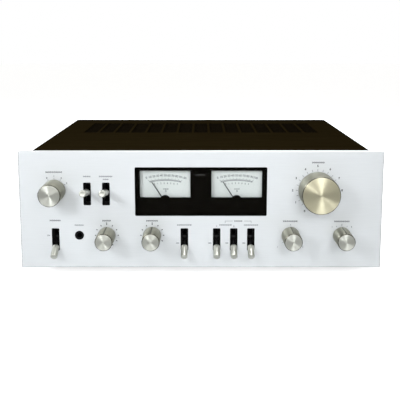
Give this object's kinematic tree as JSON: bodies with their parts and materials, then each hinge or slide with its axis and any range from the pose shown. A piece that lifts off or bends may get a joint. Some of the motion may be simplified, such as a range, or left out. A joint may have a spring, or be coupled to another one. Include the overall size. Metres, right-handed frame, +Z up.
{
  "type": "stereo amplifier",
  "caption": "Stereo amplifier: flat aluminium front with level meters, spun knobs and lever switches, slotted brown cover, sockets and terminals at the back.",
  "frame": {"origin": "on the surface under the feet, below the middle of the amplifier's width and depth", "axes": "+X to the right seen from the front, +Y from the front panel to the back, +Z up"},
  "size_m": [0.42, 0.3366, 0.15],
  "materials": {
    "satin_aluminium": "fine satin brushed, clear anodised",
    "plated_steel": "zinc plated",
    "black_paint": "matt black paint",
    "brown_paint": "dark brown textured coat",
    "black_rubber": "moulded",
    "black_screws": "black oxide",
    "clear_pane": "clear acrylic",
    "black_plastic": "moulded",
    "dial_card": "cream print",
    "needle_paint": "black paint",
    "lamp_glass": "clear",
    "polished_lever": "polished",
    "core_steel": "varnished laminations",
    "copper_winding": "taped copper winding",
    "capacitor_sleeve": "shrunk sleeve",
    "black_aluminium": "black anodised extrusion",
    "circuit_board": "paper phenolic",
    "nickel": "nickel plated brass",
    "terminal_plastic": "moulded, knurled",
    "outlet_plastic": "moulded phenolic",
    "spun_aluminium": "spun face, polished side",
    "shaft_aluminium": "turned"
  },
  "bodies": {
    "chassis": {"front_panel": "satin_aluminium", "front_subpanel": "black_paint", "chassis_pan": "plated_steel", "rear_panel": "black_paint", "top_cover": "brown_paint", "vent_screen": "black_paint", "feet": "black_rubber", "foot_screws": "plated_steel", "case_screws": "black_screws", "window_pane": "clear_pane", "meter_mask": "black_plastic", "left_meter_case": "black_plastic", "right_meter_case": "black_plastic", "left_meter_dial": "dial_card", "right_meter_dial": "dial_card", "meter_movements": "plated_steel", "meter_lamps": "lamp_glass", "headphone_jack": "black_plastic", "power_switch": "plated_steel", "lever_switches": "plated_steel", "transformer_core": "core_steel", "transformer_winding": "copper_winding", "filter_capacitors": "capacitor_sleeve", "heat_sink": "black_aluminium", "power_transistors": "plated_steel", "amplifier_board": "circuit_board", "preamplifier_board": "circuit_board", "phono_sockets": "nickel", "ground_terminal": "nickel", "speaker_terminals": "black_plastic", "terminal_caps": "terminal_plastic", "ac_outlets": "outlet_plastic", "cord_gland": "black_plastic", "speakers_switch": "plated_steel", "volume_control": "plated_steel", "bass_control": "plated_steel", "treble_control": "plated_steel", "balance_control": "plated_steel", "function_switch": "plated_steel"},
    "speakers_dial_body": {"speakers_knob": "spun_aluminium", "speakers_shaft": "shaft_aluminium"},
    "volume_dial_body": {"volume_knob": "spun_aluminium", "volume_shaft": "shaft_aluminium"},
    "bass_dial_body": {"bass_knob": "spun_aluminium", "bass_shaft": "shaft_aluminium"},
    "treble_dial_body": {"treble_knob": "spun_aluminium", "treble_shaft": "shaft_aluminium"},
    "balance_dial_body": {"balance_knob": "spun_aluminium", "balance_shaft": "shaft_aluminium"},
    "function_dial_body": {"function_knob": "spun_aluminium", "function_shaft": "shaft_aluminium"},
    "power_lever_body": {"power_lever": "polished_lever"},
    "tone_lever_body": {"tone_lever": "polished_lever"},
    "filter_lever_body": {"filter_lever": "polished_lever"},
    "loudness_lever_body": {"loudness_lever": "polished_lever"},
    "tape_1_lever_body": {"tape_1_lever": "polished_lever"},
    "tape_2_lever_body": {"tape_2_lever": "polished_lever"},
    "tape_copy_lever_body": {"tape_copy_lever": "polished_lever"},
    "left_needle_body": {"left_meter_needle": "needle_paint"},
    "right_needle_body": {"right_meter_needle": "needle_paint"}
  },
  "joints": [
    {"name": "speakers_turn", "type": "hinge", "parent": "chassis", "child": "speakers_dial_body", "pos_m": [-0.1692, -0.13905, 0.1045], "axis": [0, 1, 0], "range_deg": [0, 90]},
    {"name": "volume_turn", "type": "hinge", "parent": "chassis", "child": "volume_dial_body", "pos_m": [0.1344, -0.13905, 0.1045], "axis": [0, 1, 0], "range_deg": [0, 300]},
    {"name": "bass_turn", "type": "hinge", "parent": "chassis", "child": "bass_dial_body", "pos_m": [-0.1096, -0.13905, 0.0509], "axis": [0, 1, 0], "range_deg": [-150, 150]},
    {"name": "treble_turn", "type": "hinge", "parent": "chassis", "child": "treble_dial_body", "pos_m": [-0.0567, -0.13905, 0.0509], "axis": [0, 1, 0], "range_deg": [-150, 150]},
    {"name": "balance_turn", "type": "hinge", "parent": "chassis", "child": "balance_dial_body", "pos_m": [0.10431, -0.13905, 0.0509], "axis": [0, 1, 0], "range_deg": [-135, 135]},
    {"name": "function_turn", "type": "hinge", "parent": "chassis", "child": "function_dial_body", "pos_m": [0.1639, -0.13905, 0.0509], "axis": [0, 1, 0], "range_deg": [-30, 30]},
    {"name": "power_lever_tilt", "type": "hinge", "parent": "chassis", "child": "power_lever_body", "pos_m": [-0.1693, -0.12655, 0.04591], "axis": [-1, 0, 0], "range_deg": [0, 67]},
    {"name": "tone_lever_tilt", "type": "hinge", "parent": "chassis", "child": "tone_lever_body", "pos_m": [-0.1315, -0.12655, 0.1002], "axis": [-1, 0, 0], "range_deg": [-43.5, 23.5]},
    {"name": "filter_lever_tilt", "type": "hinge", "parent": "chassis", "child": "filter_lever_body", "pos_m": [-0.1097, -0.12655, 0.1002], "axis": [-1, 0, 0], "range_deg": [-43.5, 23.5]},
    {"name": "loudness_lever_tilt", "type": "hinge", "parent": "chassis", "child": "loudness_lever_body", "pos_m": [-0.0193, -0.12655, 0.04591], "axis": [-1, 0, 0], "range_deg": [0, 67]},
    {"name": "tape_1_lever_tilt", "type": "hinge", "parent": "chassis", "child": "tape_1_lever_body", "pos_m": [0.01835, -0.12655, 0.04591], "axis": [-1, 0, 0], "range_deg": [0, 67]},
    {"name": "tape_2_lever_tilt", "type": "hinge", "parent": "chassis", "child": "tape_2_lever_body", "pos_m": [0.03824, -0.12655, 0.04591], "axis": [-1, 0, 0], "range_deg": [0, 67]},
    {"name": "tape_copy_lever_tilt", "type": "hinge", "parent": "chassis", "child": "tape_copy_lever_body", "pos_m": [0.05819, -0.12655, 0.04591], "axis": [-1, 0, 0], "range_deg": [0, 67]},
    {"name": "left_needle_swing", "type": "hinge", "parent": "chassis", "child": "left_needle_body", "pos_m": [-0.0416, -0.12575, 0.0882], "axis": [0, 1, 0], "range_deg": [0, 66], "stiffness_Nm_per_rad": 0.00002},
    {"name": "right_needle_swing", "type": "hinge", "parent": "chassis", "child": "right_needle_body", "pos_m": [0.0416, -0.12575, 0.0882], "axis": [0, 1, 0], "range_deg": [0, 66], "stiffness_Nm_per_rad": 0.00002}
  ]
}
